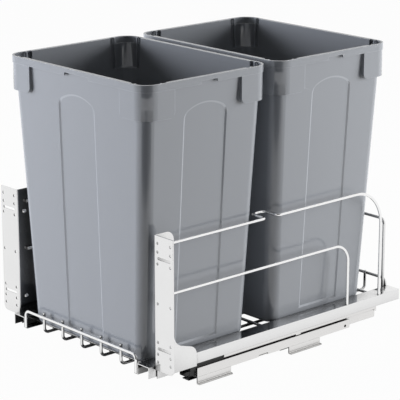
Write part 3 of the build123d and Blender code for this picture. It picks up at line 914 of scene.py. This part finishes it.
@dataclass
class SheetMetal:
    """The folded channels and the door brackets with their rivets.

    A rivet stands behind the bracket's front by setback and above the channels by its row.
    """

    dresser: Dresser
    grid: Grid
    sheet_edge: float = 0.3 * MM
    head: float = 7.5 * MM
    head_height: float = 2.6 * MM
    shank: float = 4.0 * MM
    plate: float = 2.0 * MM
    setback: float = 14.0 * MM
    rows: tuple[float, float] = (24.5 * MM, 168.7 * MM)
    rings: int = 6
    sides: int = 24

    def profile(self) -> list[tuple[float, float]]:
        """Half of a rivet's outline, from the top of its dome to the far end of its shank.

        Returns:
            Distance from the rivet's axis and along it, outward from the plate's inner face.
        """
        head, height = self.head / 2, self.head_height
        dome = (head ** 2 + height ** 2) / (2 * height)
        sweep = math.asin(head / dome)
        turns = [sweep * ring / self.rings for ring in range(1, self.rings + 1)]
        return [(0.0, -height),
                *((dome * math.sin(turn), dome - height - dome * math.cos(turn)) for turn in turns),
                (self.shank / 2, 0.0), (self.shank / 2, self.plate), (0.0, self.plate)]

    def rivet(self, side: Side) -> bpy.types.Mesh:
        """The lower rivet of a bracket, its shank through the plate, its head on the inside.

        Args:
            side: The bracket's side.

        Returns:
            The rivet's mesh.
        """
        low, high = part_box(f"door_bracket_{side.word}")
        inner = high[0] if side is Side.LEFT else low[0]
        y, z = low[1] + self.setback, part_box(f"side_channel_{side.word}")[1][2] + self.rows[0]
        shell = bmesh.new()
        circles = []
        for radius, along in self.profile():
            x = inner + side.value * along
            turns = [math.tau * step / self.sides for step in range(self.sides if radius else 1)]
            circles.append([shell.verts.new((x, y + radius * math.cos(turn),
                                             z + radius * math.sin(turn))) for turn in turns])
        for first, second in zip(circles, circles[1:]):
            for step in range(self.sides):
                loop = [circle[place % len(circle)] for circle, place in
                        ((first, step), (first, step + 1), (second, step + 1), (second, step))]
                shell.faces.new(tuple(dict.fromkeys(loop)))
        bmesh.ops.recalc_face_normals(shell, faces=shell.faces)
        return finished_mesh(shell, f"rivet_{side.word}")

    def build(self) -> None:
        """Carry the sheet metal over with softened edges and set the rivets."""
        for side in Side:
            for sheet in ("side_channel", "door_bracket"):
                self.dresser.carry(f"{sheet}_{side.word}", "folded_steel", self.sheet_edge)
            node = f"bracket_rivets_{side.word}"
            mesh = self.grid.make(f"{node}_shown", self.rivet(side), Count=len(self.rows),
                                  Step=(0.0, 0.0, self.rows[1] - self.rows[0]),
                                  Rows=1, Row_Step=(0.0, 0.0, 0.0),
                                  Finish=self.dresser.palette.materials["rivet_steel"])
            self.dresser.show(mesh, node, "rivet_steel", ROUND_CREASE)


@dataclass
class Slides:
    """The three members of each slide, with cages, balls and feet.

    A node of balls holds as many rows as rows says, each of as many balls as balls says.
    """

    dresser: Dresser
    grid: Grid
    sheet_edge: float = 0.25 * MM
    ball: float = 3.0 * MM
    balls: int = 3
    rows: int = 2

    def set_balls(self, node: str) -> None:
        """Rows of balls that fill their node's box.

        Args:
            node: The node's name.
        """
        low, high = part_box(node)
        radius = self.ball / 2
        shell = bmesh.new()
        bmesh.ops.create_icosphere(shell, subdivisions=3, radius=radius,
                                   matrix=Matrix.Translation(low + Vector((radius,) * 3)))
        across, along = high[0] - low[0] - self.ball, high[1] - low[1] - self.ball
        balls = self.grid.make(f"{node}_shown", finished_mesh(shell, f"{node}_ball"),
                               Count=self.balls, Step=(0.0, along / (self.balls - 1), 0.0),
                               Rows=self.rows, Row_Step=(across / (self.rows - 1), 0.0, 0.0),
                               Finish=self.dresser.palette.materials["bearing_steel"])
        self.dresser.show(balls, node, "bearing_steel")

    def build(self) -> None:
        """Carry the rolled members over and set their balls."""
        for side in Side:
            for part in ("fixed_rail", "slide_member", "basket_runner", "front_foot", "rear_foot"):
                self.dresser.carry(f"{part}_{side.word}", "slide_steel", self.sheet_edge)
            self.dresser.carry(f"slide_guide_{side.word}", "guide_plastic", self.sheet_edge)
            for row in ("lower", "upper"):
                self.dresser.carry(f"{row}_ball_cage_{side.word}", "cage_steel")
                self.set_balls(f"{row}_balls_{side.word}")


# ---------------------------------------------------------------- studio
@dataclass(frozen=True)
class SoftBox:
    """A large soft lamp that stands beside the object and faces it.

    turn is its direction from the aim, in degrees from +X towards +Y, lift its angle above it.
    """

    name: str
    turn: float
    power: float
    tint: Triple = (1.0, 1.0, 1.0)
    lift: float = 9.0
    distance: float = 2.5
    width: float = 2.0
    height: float = 1.2
    aim: Triple = (0.0, 0.05, 0.25)

    def frame(self) -> Matrix:
        """Place the lamp, its local -Z towards the point that it aims at.

        Returns:
            The lamp's matrix.
        """
        turn, lift = math.radians(self.turn), math.radians(self.lift)
        outward = Vector((math.cos(turn) * math.cos(lift), math.sin(turn) * math.cos(lift),
                          math.sin(lift)))
        place = Vector(self.aim) + outward * self.distance
        return Matrix.Translation(place) @ (-outward).to_track_quat("-Z", "Y").to_matrix().to_4x4()


@dataclass(frozen=True)
class Flag:
    """A dark sheet that only bright surfaces mirror, between a near and a far edge.

    Each edge is given by its distance from the origin in the direction turn, its height and
    half its width.
    """

    name: str
    turn: float
    near: Triple
    far: Triple
    shade: float = 0.01

    def outline(self) -> list[Vector]:
        """Place the sheet's four corners.

        Returns:
            The corners in order.
        """
        turn = math.radians(self.turn)
        ahead = Vector((math.cos(turn), math.sin(turn), 0.0))
        aside = Vector((-math.sin(turn), math.cos(turn), 0.0))
        up = Vector((0.0, 0.0, 1.0))
        return [ahead * distance + up * height + aside * half
                for distance, height, half in (self.near, (*self.near[:2], -self.near[2]),
                                               (*self.far[:2], -self.far[2]), self.far)]


@dataclass
class Studio:
    """Pale floor, white surroundings, two soft boxes, dark flags and the camera.

    Angles are in degrees and lengths in metres, the lens and the sensor in millimetres.
    """

    azimuth: float = 47.86
    pitch: float = 15.64
    camera_place: Triple = (2.1200, -1.89565, 1.0315)
    lens: float = 163.83
    sensor: float = 36.0
    sight: float = 50.0
    floor_size: float = 14.0
    floor_share: float = 0.97
    floor_grey: float = 0.5
    floor_roughness: float = 0.9
    world_light: float = 0.13
    soft_boxes: tuple[SoftBox, ...] = (
        SoftBox("left_box", turn=-139.0, power=96.0, tint=(0.965, 0.985, 1.04)),
        SoftBox("right_box", turn=54.0, power=90.0))
    flags: tuple[Flag, ...] = (
        Flag("under_flag", turn=-90.0, near=(-0.335, 0.0005, 0.165), far=(0.262, 0.0005, 0.165),
             shade=0.2),
        Flag("front_flag", turn=-41.8, near=(0.95, 0.001, 0.6), far=(2.2, 1.6, 1.25)),
        Flag("top_flag", turn=-41.8, near=(2.2, 1.6, 1.25), far=(-1.8, 1.6, 1.8), shade=0.4))

    def build(self) -> None:
        """Set up everything that isn't part of the object."""
        bpy.context.scene.view_settings.view_transform = "Standard"
        self.set_camera()
        self.set_world()
        self.lay_floor()
        self.hang_lamps()
        self.set_flags()

    def set_camera(self) -> None:
        """Place the camera where the photograph was taken from."""
        data = bpy.data.cameras.new("camera")
        data.lens = self.lens
        data.sensor_width = self.sensor
        data.clip_end = self.sight
        camera = bpy.data.objects.new("camera", data)
        camera.location = self.camera_place
        camera.rotation_euler = (math.radians(90 - self.pitch), 0.0, math.radians(self.azimuth))
        bpy.context.scene.collection.objects.link(camera)
        bpy.context.scene.camera = camera

    def set_world(self) -> None:
        """White to the camera and to reflections, and softer as a light."""
        world = bpy.data.worlds.new("studio")
        world.use_nodes = True
        nodes = Nodes(world.node_tree)
        white = nodes.seen() * (1.0 - self.world_light) + self.world_light
        background = world.node_tree.nodes["Background"]
        nodes.feed(background, "Color", grey(1.0))
        nodes.feed(background, "Strength", white)
        bpy.context.scene.world = world

    def lay_floor(self) -> None:
        """A plain pale floor that shows nearly as bright as the background."""
        half = self.floor_size / 2
        outline = [(-half, -half, 0), (half, -half, 0), (half, half, 0), (-half, half, 0)]
        shader = Shader("floor_white")
        shader.set(Base_Color=grey(self.floor_grey), Roughness=self.floor_roughness)
        glow = shader.add("ShaderNodeEmission", {}, {"Color": grey(1.0), "Strength": 1.0})
        mixed = shader.add("ShaderNodeMixShader", {}, {0: shader.seen() * self.floor_share,
                                                       1: shader.surface.outputs[0],
                                                       2: glow.outputs[0]})
        shader.feed(shader.tree.nodes["Material Output"], "Surface", mixed.outputs[0])
        self.spread("floor", outline, shader)

    def spread(self, name: str, outline: list[Vector | Triple], shader: Shader) -> bpy.types.Object:
        """Lay out a flat sheet with one face.

        Args:
            name: Name of the sheet.
            outline: Its four corners in order.
            shader: Its material's tree.

        Returns:
            The sheet.
        """
        mesh = bpy.data.meshes.new(name)
        mesh.from_pydata(outline, [], [(0, 1, 2, 3)])
        mesh.materials.append(shader.material)
        sheet = bpy.data.objects.new(name, mesh)
        bpy.context.scene.collection.objects.link(sheet)
        return sheet

    def hang_lamps(self) -> None:
        """Two large soft boxes, on the left and on the right of the camera's line of sight."""
        for panel in self.soft_boxes:
            data = bpy.data.lights.new(panel.name, "AREA")
            data.shape = "RECTANGLE"
            data.size = panel.width
            data.size_y = panel.height
            data.energy = panel.power
            data.color = panel.tint
            lamp = bpy.data.objects.new(panel.name, data)
            lamp.matrix_world = panel.frame()
            lamp.visible_glossy = False
            bpy.context.scene.collection.objects.link(lamp)

    def set_flags(self) -> None:
        """Dark sheets that give bright metal its dark lines; they neither show nor shade."""
        for flag in self.flags:
            shader = Shader(f"{flag.name}_cloth")
            shader.set(Base_Color=grey(flag.shade), Roughness=1.0, Specular_IOR_Level=0.0)
            sheet = self.spread(flag.name, flag.outline(), shader)
            sheet.visible_camera = False
            sheet.visible_diffuse = False
            sheet.visible_shadow = False


def corners(box: tuple[Vector, Vector]) -> list[list[float]]:
    """A box as plain lists of numbers."""
    return [list(box[0]), list(box[1])]


def main() -> None:
    """Build the studio and every sub-assembly in order."""
    logging.basicConfig(level=logging.INFO, format="%(message)s")
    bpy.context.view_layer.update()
    Studio().build()
    dresser = Dresser(Palette())
    grid = Grid()
    Bins(dresser).build()
    WireWork(dresser, BentWire(), grid).build()
    SheetMetal(dresser, grid).build()
    Slides(dresser, grid).build()


if __name__ == "__main__":
    main()
